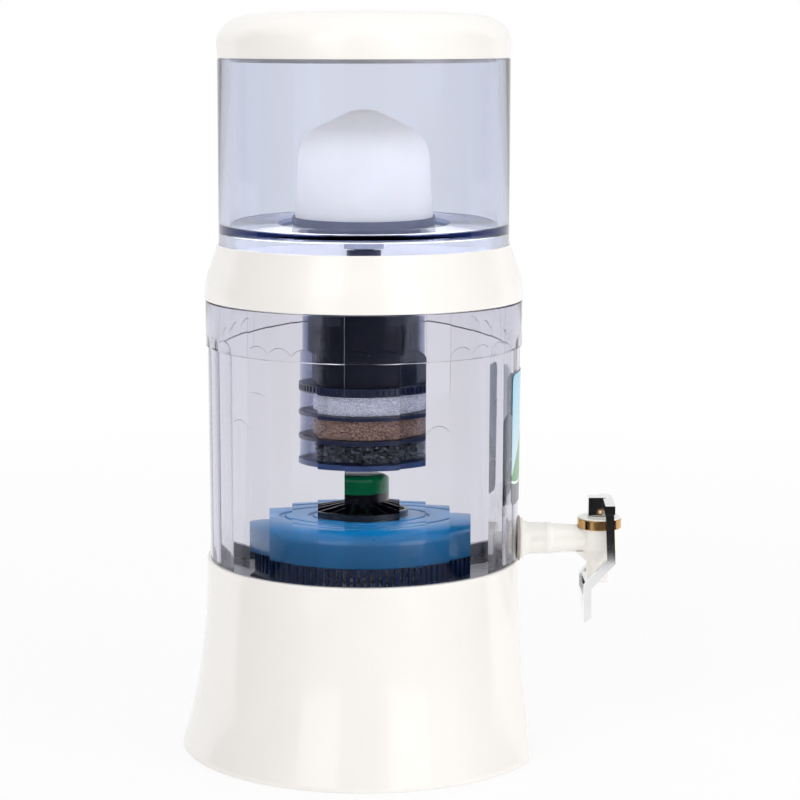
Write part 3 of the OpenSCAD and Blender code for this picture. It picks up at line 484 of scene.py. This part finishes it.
def stand():
    sides, rows, inner_rows, rib_rows = 288, 44, 20, 12
    under_z = DECK_Z - DECK_T
    lip, foot_edge, foot_round, pocket_edge, bore_edge = 1.3, 0.9, 0.25, 0.5, 0.4

    def column(i):
        a = 2 * math.pi * i / sides
        levels = [foot_edge + (STAND_H - lip - foot_edge) * k / rows for k in range(rows + 1)]
        points = [(stand_wall_radius(a, z, 0), z) for z in levels]
        foot_r, top_r = points[0][0], points[-1][0]
        points = [(foot_r - foot_edge, 0), (foot_r - foot_round, foot_round)] + points
        points += arc(top_r - lip, STAND_H - lip, lip, lip, 30, 90, 2)
        points += [(POCKET_R + pocket_edge, STAND_H), (POCKET_R, STAND_H - pocket_edge),
                   (POCKET_R, DECK_Z), (POST_BORE_R + bore_edge, DECK_Z),
                   (POST_BORE_R, DECK_Z - bore_edge), (POST_BORE_R, under_z)]
        levels = [under_z * (1 - k / inner_rows) for k in range(inner_rows + 1)]
        points += [(stand_wall_radius(a, z, STAND_WALL), z) for z in levels]
        return [(r * math.cos(a), r * math.sin(a), z) for r, z in points]

    body = make("stand_shell", *swept(sides, column), WHITE)
    notch_room, notch_depth = 0.8, 12           # round the tap's gasket, and into the wall
    notch = rod("notch", SEAT_PAD_R + notch_room, SEAT_X - notch_depth, FRONT_FOOT_X, WHITE)
    combine(body, notch, "DIFFERENCE")
    piece(finished(body, WHITE, 38), "base", "stand")

    post = turned("stand_rib_cross", rounded([
        (POST_R, 0, 0.6), (POST_R, under_z), (POST_BORE_R, under_z), (POST_BORE_R, STAND_WALL, 1),
        (AXIS, STAND_WALL), (AXIS, 0)]), WHITE)
    ribs = []
    sunk, wall_gap = 1, 0.3                     # into the post, and short of the round wall
    for quarter in range(4):
        levels = [RIB_LIFT + (under_z - RIB_LIFT) * k / rib_rows for k in range(rib_rows + 1)]
        edge = [(stand_radius(z) - STAND_WALL - wall_gap, z) for z in levels]
        outline = rounded([(POST_R - sunk, RIB_LIFT), (*edge[0], 2)] + edge[1:] + [(POST_R - sunk, under_z)])
        rib = slab("rib", outline, -RIB_T / 2, RIB_T / 2, WHITE)
        rib.data.transform(Matrix.Rotation(math.radians(45 + 90 * quarter), 4, "Z"))
        ribs.append(rib)
    piece(finished(joined([post] + ribs), WHITE, 38), "base", "stand_ribs")


def collar():
    top_z, skirt_z = high("collar")[2], low("collar")[2]
    skirt_r = BAND_R + 0.9
    guide_r, shelf_t, roof_z, fit = UPPER_R + 0.3, 4, TANK_RIM_Z + 3, 0.3
    outline = rounded([
        (TANK_RIM_R + fit, skirt_z, 0.4), (skirt_r, skirt_z, 0.8), (skirt_r - 1.3, TANK_RIM_Z + 5, 1),
        (skirt_r - 2.9, TANK_RIM_Z + 11, 4), (skirt_r - 6.2, TANK_RIM_Z + 20, 5),
        (guide_r + 1.1, top_z - 0.5, 0.5), (guide_r + 0.6, top_z, 0.3), (guide_r, top_z, 0.3),
        (guide_r, SHELF_Z), (SHELF_R, SHELF_Z, 0.8), (SHELF_R, SHELF_Z - shelf_t, 0.8),
        (skirt_r - 6.8, SHELF_Z - shelf_t), (skirt_r - 5.8, roof_z), (TANK_BORE_R + fit, roof_z, 0.6),
        (TANK_BORE_R + fit, TANK_RIM_Z), (TANK_RIM_R + fit, TANK_RIM_Z)])
    piece(turned("collar_ring", outline, WHITE, 45, 256), "collar", "collar")


def lid():
    r = UPPER_R + 0.6
    side_z = UPPER_TOP_Z + 11
    crown, corner, wall, plug_depth = 2.2, 31, 3, 3.5
    edge_h = LID_TOP_Z - side_z - crown
    flat_r = r - corner
    plug_r, plug_bore_r = UPPER_BORE_R - 0.4, UPPER_BORE_R - 3.4
    seat_z = UPPER_TOP_Z + 0.01                 # a hair above the tank's rim
    steps = 12
    dome_radii = (flat_r * (1 - k / steps) for k in range(1, steps))
    top = [(x, LID_TOP_Z - crown * (x / flat_r) ** 2) for x in dome_radii]
    outline = rounded([(plug_bore_r, UPPER_TOP_Z - plug_depth, 0.5), (plug_r, UPPER_TOP_Z - plug_depth, 0.5),
                       (plug_r, seat_z), (r, seat_z, 0.7)])
    outline += arc(flat_r, side_z, corner, edge_h, 0, 90, 28) + top
    outline += [(AXIS, LID_TOP_Z), (AXIS, LID_TOP_Z - wall)]
    outline += [(x, z - wall) for x, z in reversed(top)]
    outline += arc(flat_r, side_z, corner - wall, edge_h - wall, 90, 0, 20)
    outline += [(r - wall, UPPER_TOP_Z + wall), (plug_bore_r, UPPER_TOP_Z + wall)]
    piece(turned("lid_shell", outline, WHITE, 40, 256), "lid", "lid")


# ---------------------------------------------------------------- tanks
def lower_tank():
    """Thick clear tank; flat facets with arched tops line its round inner wall."""
    half_angle = math.radians(180 / FACETS)
    seam = math.radians(0.04)                   # between the last column of a facet and the seam's middle
    flat = TANK_BORE_R * math.cos(half_angle)
    across, steps = 12, 24
    columns = []                                # (angle, radius of the facet there, its top)
    for k in range(FACETS):
        centre = math.radians(FACET_PHASE + k * 360 / FACETS)
        top = SHORT_FACET_TOP_Z if k % 4 == 2 else FACET_TOP_Z
        for i in range(across + 1):
            turn = -(half_angle - seam) * math.cos(math.pi * i / across)
            y = flat * math.tan(turn)
            arch_z = top - FACET_ARCH_R + math.sqrt(FACET_ARCH_R ** 2 - y * y)
            columns.append((centre + turn, flat / math.cos(turn), arch_z))
    step_z = STAND_H + 0.4                      # just above the stand's rim
    outer = rounded([(AXIS, DECK_Z), (SPIGOT_R, DECK_Z, 1.2), (SPIGOT_R, step_z), (TANK_FOOT_R, step_z, 0.5),
                     (TANK_TOP_R, BAND_Z - 0.6), (BAND_R, BAND_Z, 0.4), (BAND_R, BAND_TOP_Z, 0.8),
                     (TANK_RIM_R, BAND_TOP_Z), (TANK_RIM_R, TANK_RIM_Z, 0.6), (TANK_BORE_R, TANK_RIM_Z, 0.6)])
    facet_foot, fillet = 2, 2.4

    def column(i):
        angle, r, top = columns[i]
        points = outer + [(TANK_BORE_R, top + 0.3)]
        points += [(r, top - (top - TANK_FLOOR_Z - facet_foot) * k / steps) for k in range(steps + 1)]
        points += [(TANK_BORE_R - fillet / 2, TANK_FLOOR_Z + fillet / 4),
                   (TANK_BORE_R - fillet, TANK_FLOOR_Z), (AXIS, TANK_FLOOR_Z)]
        return [(p * math.cos(angle), p * math.sin(angle), z) for p, z in points]

    tank = make("lower_tank_shell", *swept(len(columns), column), TANK, 30)
    sunk, cut = 5, 8                            # into the wall, and out past it
    for name, radius, x0, x1, operation in (
            ("pad", SEAT_PAD_R, SEAT_X - sunk, SEAT_X, "UNION"),
            ("boss", INNER_PAD_R, INNER_SEAT_X, INNER_SEAT_X + sunk, "UNION"),
            ("recess", SEAT_PAD_R, SEAT_X, SEAT_X + cut, "DIFFERENCE"),
            ("hole", SHANK_HOLE_R, INNER_SEAT_X - sunk, SEAT_X + sunk, "DIFFERENCE")):
        combine(tank, rod(name, radius, x0, x1, TANK), operation)
    finished(tank, TANK, 30)
    crease_facets(tank.data)
    piece(tank, "base", "lower_tank")


def crease_facets(mesh):
    """Keeps each facet flat: its neighbours meet it at a crisp line."""
    facet_dip, room, least_angle = 0.6, 0.1, math.radians(3)
    bm = bmesh.new()
    bm.from_mesh(mesh)
    for edge in bm.edges:
        radii = [vertex.co.xy.length / MM for vertex in edge.verts]
        if min(radii) > TANK_BORE_R - facet_dip and max(radii) < TANK_BORE_R + room:
            edge.smooth = edge.calc_face_angle(0) < least_angle
    bm.to_mesh(mesh)
    bm.free()


def upper_tank():
    stem_hole_r = 8.4
    rim_step = 0.8
    outline = rounded([
        (stem_hole_r, RECESS_Z, 0.3), (RECESS_R, RECESS_Z), (RECESS_R, UPPER_FLOOR_Z, 0.4),
        (UPPER_BORE_R, UPPER_FLOOR_Z, 1.2), (UPPER_BORE_R, UPPER_TOP_Z, 0.5),
        (UPPER_R - rim_step, UPPER_TOP_Z, 0.3), (UPPER_R - rim_step, UPPER_TOP_Z - rim_step),
        (UPPER_R, UPPER_TOP_Z - rim_step, 0.3), (UPPER_R, SHELF_Z, 0.5), (UPPER_BORE_R, SHELF_Z, 0.5),
        (UPPER_BORE_R, UPPER_UNDER_Z, 1.5), (stem_hole_r, UPPER_UNDER_Z, 0.3)])
    piece(turned("upper_tank_shell", outline, UPPER, 30, 256), "upper", "upper_tank")


# ---------------------------------------------------------------- dome
def dome():
    foot_z, top_z = low("ceramic_dome")[2], high("ceramic_dome")[2]
    foot_r, wall = 52, 7
    crown, shoulder, slope, taper = 36, 26, 25, 2.5     # curves, the angle between them, the side's taper
    lean = math.radians(slope)
    shoulder_x = foot_r - taper - shoulder
    shoulder_z = (top_z - crown + crown * math.cos(lean)
                  - (shoulder_x + (shoulder - crown) * math.sin(lean)) * math.tan(lean)
                  - shoulder * math.cos(lean))

    def half(t):
        points = [(foot_r - t, foot_z)]
        points += arc(shoulder_x, shoulder_z, shoulder - t, shoulder - t, 0, 90 - slope, 22)
        return points + arc(0, top_z - crown, crown - t, crown - t, 90 - slope, 89.9, 8)
    outline = half(0) + list(reversed(half(wall)))
    piece(turned("dome_candle", outline, CERAMIC.material, 60), "upper", "ceramic_dome")

    plate_z, ring_h = RECESS_Z + 1, 6.3
    ring_r, seat_r = high("dome_base")[0], foot_r + 0.3
    bore_r, stem_r, stem_low = 3.5, 8, low("dome_base")[2]
    pitch, root_r, first, blank = 1.5, stem_r - 0.8, 0.6, 2    # of the thread, and its plain ends
    threads = []
    for k in range(int((plate_z - stem_low - blank) / pitch)):
        z = stem_low + first + k * pitch
        threads += [(root_r, z), (stem_r, z + 0.5), (stem_r, z + 0.8), (root_r, z + 1.4)]
    outline = [(bore_r, stem_low)] + threads + [(stem_r, plate_z)]
    outline += rounded([(ring_r, plate_z, 0.6), (ring_r, plate_z + ring_h, 0.5),
                        (seat_r, plate_z + ring_h, 0.3), (seat_r, foot_z), (bore_r, foot_z)])
    piece(turned("dome_foot", outline, GREY_BLUE.material), "upper", "dome_base")


# ---------------------------------------------------------------- cartridge
def ico(subdivisions):
    bm = bmesh.new()
    bmesh.ops.create_icosphere(bm, subdivisions=subdivisions, radius=1)
    vertices = [v.co.copy() for v in bm.verts]
    faces = [[v.index for v in f.verts] for f in bm.faces]
    bm.free()
    return vertices, faces


def bed(name, node, radius, size, material, subdivisions=1):
    """Loose grains in two layers behind a round wall, over a plain core, as high as the node."""
    z0, z1 = low(node)[2], high(node)[2]
    template, template_faces = ico(subdivisions)
    # shares of a grain's size: the layers' depths, the room at each end, and how far grains stand apart
    layer_depths, core_depth, end_room, side_pitch = (0.55, 1.25), 1.4, 0.45, 0.92
    pitch = size * side_pitch
    rows = max(1, round((z1 - z0 - 2 * end_room * size) / (pitch * 0.9)))
    vertices, faces = [], []
    for depth in layer_depths:
        r = radius - size * depth
        around = int(2 * math.pi * r / pitch)
        for row in range(rows + 1):
            for i in range(around):
                a = 2 * math.pi * (i + 0.5 * (row % 2) + rng.uniform(-0.35, 0.35)) / around
                z = z0 + size * 0.5 + (z1 - z0 - size) * row / rows + rng.uniform(-0.2, 0.2) * size
                z = min(max(z, z0 + size * end_room), z1 - size * end_room)
                scale = Vector([size * 0.5 * rng.uniform(0.65, 1.05) for _ in range(3)])
                turn = Euler([rng.uniform(0, math.tau) for _ in range(3)]).to_matrix()
                place = Vector((r * math.cos(a), r * math.sin(a), z))
                start = len(vertices)
                for v in template:
                    dent = rng.uniform(0.78, 1.0)
                    vertices.append(place + turn @ (v * scale) * dent)
                faces += [tuple(start + i for i in f) for f in template_faces]
    start, sides, inset = len(vertices), 64, 0.1
    core_r = radius - size * core_depth
    for z in (z0 + inset, z1 - inset):
        for i in range(sides):
            turn = math.tau * i / sides
            vertices.append(Vector((core_r * math.cos(turn), core_r * math.sin(turn), z)))
    for i in range(sides):
        n = (i + 1) % sides
        faces.append((start + i, start + n, start + sides + n, start + sides + i))
    faces += [tuple(reversed(range(start, start + sides))), tuple(range(start + sides, start + 2 * sides))]
    return make(name, vertices, faces, material, 25)


def cartridge():
    for node, slot, shade, size, subdivisions in (
            ("upper_granules", "white_granules", WHITE_GRAIN, 1.8, 1),
            ("middle_granules", "brown_granules", BROWN_GRAIN, 2.1, 1),
            ("lower_granules", "black_granules", BLACK_GRAIN, 4.2, 2)):
        piece(bed(node + "_bed", node, FILL_R, size, shade, subdivisions), "upper", node)
    for node in ("upper_stage_shell", "middle_stage_shell", "lower_stage_shell", "canister_shell"):
        z0, z1 = low(node)[2], high(node)[2]
        outline = rounded([(CART_BORE_R, z0), (CART_R, z0, 0.5), (CART_R, z1, 0.5), (CART_BORE_R, z1)])
        piece(turned(node + "_tube", outline, SHELL, 40), "upper", node)
    for name, node, paint, slot, bevel in (
            ("carbon_core", "carbon_block", CARBON, "carbon", 0),
            ("ribbed_screen_plate", "ribbed_screen", NAVY, "navy_plastic", 0.15),
            ("middle_screen_plate", "middle_screen", NAVY, "navy_plastic", 0.15),
            ("lower_screen_plate", "lower_screen", NAVY, "navy_plastic", 0.15),
            ("foot_plate", "cartridge_foot", BLUE_FOOT, "navy_plastic", 0.3),
            ("cap_plate", "cartridge_cap", NAVY, "navy_plastic", 0.5),
            ("dome_hex_nut", "dome_nut", GREY_BLUE, "grey_blue_plastic", 0.5)):
        piece(from_cad(name, node, paint.material, bevel), "upper", node)


# ---------------------------------------------------------------- mineral tray
def tray():
    top_z, low_z = high("tray_lid")[2], low("tray_lid")[2]
    r = high("tray_lid")[1]
    shoulder_w, shoulder_h, cover_t, foot_edge = 15, 10, 3, 0.5
    groove_depth, groove_edge = 1.2, 0.3
    flat_r = r - shoulder_w
    grooves = []
    for share in (0.65, 0.8, 0.95):
        groove = flat_r * share
        grooves += [(groove - 1.9, top_z, groove_edge), (groove - 1.5, top_z - groove_depth, groove_edge),
                    (groove - 0.3, top_z - groove_depth, groove_edge), (groove + 0.1, top_z, groove_edge)]
    outline = [(AXIS, top_z)] + rounded([(AXIS, top_z)] + grooves + [(flat_r, top_z)])[1:-1]
    outline += arc(flat_r, top_z - shoulder_h, shoulder_w, shoulder_h, 90, 0, 12)
    outline += [(r, low_z + foot_edge), (r - foot_edge, low_z), (r - cover_t, low_z)]
    outline += arc(flat_r, top_z - shoulder_h, shoulder_w - cover_t, shoulder_h - cover_t, 0, 90, 10)
    outline += [(AXIS, top_z - cover_t)]
    piece(turned("tray_cover", outline, TRAY_BLUE.material), "base", "tray_lid")
    wall = from_cad("tray_slotted_wall", "tray_basket", BASKET.material)
    piece(wall, "base", "tray_basket")
    stones = bed("tray_stone_bed", "tray_stones", high("tray_stones")[1], 4.5, STONE, 2)
    piece(stones, "base", "tray_stones")
    piece(from_cad("swirl_disc", "finned_disc", BLACK.material, 0.2), "base", "finned_disc")
    piece(from_cad("green_cover", "green_cap", GREEN.material), "base", "green_cap")


# ---------------------------------------------------------------- tap
def tap():
    for name, node, material, slot, bevel, body in (
            ("tap_casting", "tap_body", TAP_PAINTED_LIGHTER_WHITE, "white_plastic", 0.4, "base"),
            ("tap_washer", "tap_gasket", GASKET.material, "gasket_rubber", 0.6, "base"),
            ("shank_washer", "inner_gasket", GASKET.material, "gasket_rubber", 0.4, "base"),
            ("shank_nut", "lock_nut", TAP_PAINTED_LIGHTER_WHITE, "white_plastic", 0.5, "base"),
            ("brass_collar", "bonnet_ring", GOLD.material, "gold_brass", 0.4, "base"),
            ("bonnet_plug", "bonnet_cap", TAP_PAINTED_LIGHTER_WHITE, "white_plastic", 0.3, "base"),
            ("stem_rod", "valve_stem", STEEL.material, "steel", 0.2, "valve"),
            ("pivot_pin", "lever_pin", GOLD.material, "gold_brass", 0.15, "lever"),
            ("chrome_lever", "lever", CHROME.material, "chrome", 0.7, "lever")):
        piece(from_cad(name, node, material, bevel), body, node)
    coil = from_cad("spring_coil", "stem_spring", STEEL.material, sharp=35)
    piece(coil, "base", "stem_spring")
    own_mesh(coil)


# ---------------------------------------------------------------- stage
def light(name, place, aim, energy, size, colour=(1, 1, 1)):
    data = bpy.data.lights.new(name, "AREA")
    data.energy = energy
    data.color = colour
    data.shape = "RECTANGLE"
    data.size, data.size_y = size
    obj = bpy.data.objects.new(name, data)
    bpy.context.collection.objects.link(obj)
    obj.location = place
    obj.rotation_euler = (Vector(aim) - Vector(place)).to_track_quat("-Z", "Y").to_euler()
    return obj


def unseen(lamp):
    lamp.visible_camera = lamp.visible_glossy = lamp.visible_transmission = False


def inner_lights(name, radius, z, energy, size):
    """A ring of soft boxes inside a tank, towards its axis."""
    count = 6
    for i in range(count):
        turn = 2 * math.pi * (i + 0.5) / count
        place = (radius * math.cos(turn) * MM, radius * math.sin(turn) * MM, z * MM)
        unseen(light(f"{name}_{i}", place, (0, 0, z * MM), energy, size))


class Wiring:
    """Short forms for a node tree of the stage."""

    def __init__(self, tree):
        self.tree = tree
        self.ray = tree.nodes.new("ShaderNodeLightPath").outputs

    def fill(self, socket, value):
        if isinstance(value, bpy.types.NodeSocket):
            self.tree.links.new(value, socket)
        else:
            socket.default_value = value

    def maths(self, operation, *values):
        node = self.tree.nodes.new("ShaderNodeMath")
        node.operation = operation
        for socket, value in zip(node.inputs, values):
            self.fill(socket, value)
        return node.outputs["Value"]

    def split(self, vector):
        node = self.tree.nodes.new("ShaderNodeSeparateXYZ")
        self.tree.links.new(vector, node.inputs["Vector"])
        return node.outputs

    def ramp(self, factor, *stops):
        """A grey ramp through (place, level) stops."""
        node = self.tree.nodes.new("ShaderNodeValToRGB")
        elements = node.color_ramp.elements
        while len(elements) < len(stops):
            elements.new(1)
        for element, (place, level) in zip(elements, stops):
            element.position = place
            element.color = (level, level, level, 1)
        self.tree.links.new(factor, node.inputs["Fac"])
        return node.outputs["Color"]

    def mixed(self, factor, first, second):
        node = self.tree.nodes.new("ShaderNodeMixShader")
        self.fill(node.inputs["Fac"], factor)
        self.tree.links.new(first, node.inputs[1])
        self.tree.links.new(second, node.inputs[2])
        return node.outputs["Shader"]


def world():
    """Even light; reflections show two soft boxes in front, a ceiling and the white backdrop behind."""
    studio = bpy.data.worlds.new("studio")
    bpy.context.scene.world = studio
    studio.use_nodes = True
    tree = studio.node_tree
    wiring = Wiring(tree)
    even = tree.nodes["Background"]
    even.inputs["Color"].default_value = (0.96, 0.97, 1.0, 1)
    even.inputs["Strength"].default_value = 0.64
    x, y, z = wiring.split(tree.nodes.new("ShaderNodeTexCoord").outputs["Generated"])
    # the angle from straight in front, as a share of half a turn
    turn = wiring.maths("ABSOLUTE", wiring.maths("ARCTAN2", x, wiring.maths("MULTIPLY", y, -1)))
    walls = wiring.ramp(wiring.maths("DIVIDE", turn, math.pi), (0, 0.01), (0.085, 0.02), (0.095, 1),
                        (0.23, 1), (0.24, 0.09), (0.6, 0.08), (0.68, 0.68))
    ceiling = wiring.ramp(z, (0.45, 0.0), (0.75, 0.6))
    box_strength = 1.4
    room = tree.nodes.new("ShaderNodeBackground")
    room.inputs["Color"].default_value = (1, 1, 1, 1)
    tree.links.new(wiring.maths("MULTIPLY", wiring.maths("MAXIMUM", walls, ceiling), box_strength),
                   room.inputs["Strength"])
    backdrop = tree.nodes.new("ShaderNodeBackground")
    backdrop.inputs["Color"].default_value = (1, 1, 1, 1)
    seen = wiring.mixed(wiring.ray["Is Glossy Ray"], even.outputs["Background"], room.outputs["Background"])
    behind = wiring.maths("MAXIMUM", wiring.ray["Is Camera Ray"], wiring.ray["Is Transmission Ray"])
    tree.links.new(wiring.mixed(behind, seen, backdrop.outputs["Background"]),
                   tree.nodes["World Output"].inputs["Surface"])


def floor():
    """A pale floor; a white sheet on it ends in front of the object and at its sides, for reflections."""
    paint = Paint("pale_floor", (0.97, 0.97, 0.97), 0.6)
    paint.mottle(200, 0.01)
    wiring = Wiring(paint.tree)
    x, y, _ = wiring.split(paint.place)
    sheet_front, sheet_back, sheet_half_width = -0.68, 0.05, 0.5
    before = wiring.maths("LESS_THAN", y, sheet_front)
    beside = wiring.maths("MULTIPLY", wiring.maths("LESS_THAN", y, sheet_back),
                          wiring.maths("GREATER_THAN", wiring.maths("ABSOLUTE", x), sheet_half_width))
    mirrored = wiring.maths("GREATER_THAN", wiring.ray["Glossy Depth"], 0.5)
    off_sheet = wiring.maths("MULTIPLY", mirrored, wiring.maths("MAXIMUM", before, beside))
    bare_floor = 0.015
    glow = paint.node("ShaderNodeEmission")
    paint.link(wiring.maths("MULTIPLY_ADD", off_sheet, bare_floor - 1, 1.0), glow.inputs["Strength"])
    # near the object the floor shows its own shade and the shadow; far off it is the white backdrop
    far = wiring.maths("SQRT", wiring.maths("ADD", wiring.maths("POWER", x, 2), wiring.maths("POWER", y, 2)))
    reach = paint.node("ShaderNodeMapRange", **{"From Min": 0.3, "From Max": 1.6, "To Min": 0.8})
    paint.link(far, reach.inputs["Value"])
    seen = wiring.maths("MAXIMUM", wiring.ray["Is Camera Ray"], wiring.ray["Is Transmission Ray"])
    seen = wiring.maths("MULTIPLY", seen, reach.outputs["Result"])
    seen = wiring.maths("MAXIMUM", seen, wiring.ray["Is Glossy Ray"])
    paint.link(wiring.mixed(seen, paint.shader.outputs["BSDF"], glow.outputs["Emission"]),
               paint.tree.nodes["Material Output"].inputs["Surface"])
    size, below = 6000, -0.3
    corners = [(x * size, y * size, below) for x, y in ((-1, -1), (1, -1), (1, 1), (-1, 1))]
    make("floor", corners, [(0, 1, 2, 3)], paint.material)


def lamps():
    warm = (1.0, 0.985, 0.96)
    for lamp in (light("key", (-0.9, -1.5, 1.5), (0, 0, 0.3), 12, (1.2, 1.2), warm),
                 light("fill", (1.6, -1.2, 0.7), (0, 0, 0.25), 13, (1.0, 1.4), warm),
                 light("top", (0.0, 0.4, 1.9), (0, 0, 0.3), 6.5, (1.6, 1.2))):
        lamp.visible_glossy = False
    # lamplight doesn't pass clear plastic: unseen soft boxes light what stands in the tanks
    inner_lights("upper", 84, (UPPER_FLOOR_Z + UPPER_TOP_Z) / 2 - 6, 0.017, (0.09, 0.1))
    inner_lights("lower", 92, (TANK_FLOOR_Z + BAND_Z) / 2 + 40, 0.07, (0.09, 0.12))
    under_floor = light("under_floor", (0, 0, (UPPER_UNDER_Z - 1) * MM), (0, 0, 0), 0.42, (0.196, 0.196))
    under_floor.data.shape = "DISK"
    unseen(under_floor)
    under_floor.visible_transmission = True


def camera():
    """The photograph's view: its lens, its axis left of the middle, its height and tilt."""
    data = bpy.data.cameras.new("camera")
    frame_px, focal_px, axis_px, tilt = 800, 2403.37, 363.9, 8.72694
    data.sensor_width = 36
    data.lens = focal_px * data.sensor_width / frame_px
    data.shift_x = (frame_px / 2 - axis_px) / frame_px
    data.clip_end = 50
    eye = bpy.data.objects.new("camera", data)
    bpy.context.collection.objects.link(eye)
    eye.location = (0, -1.8035, 0.54161)
    eye.rotation_euler = (math.radians(90 - tilt), 0, 0)
    bpy.context.scene.camera = eye


# ---------------------------------------------------------------- the object and its stage
for build in (stand, collar, lid, lower_tank, upper_tank, dome, cartridge, tray, tap):
    build()
nodes["tank_label"].data.materials.clear()
nodes["tank_label"].data.materials.append(label_film())
for node in ("dome_seal", "floor_washer", "cap_seal", "seat_washer"):
    nodes[node].material_slots[0].material = RUBBER.material
for build in (world, floor, lamps, camera):
    build()

scene = bpy.context.scene
scene.view_settings.view_transform = "Standard"
scene.cycles.max_bounces = scene.cycles.transmission_bounces = 24      # through both tanks and their insides
scene.cycles.glossy_bounces = 6
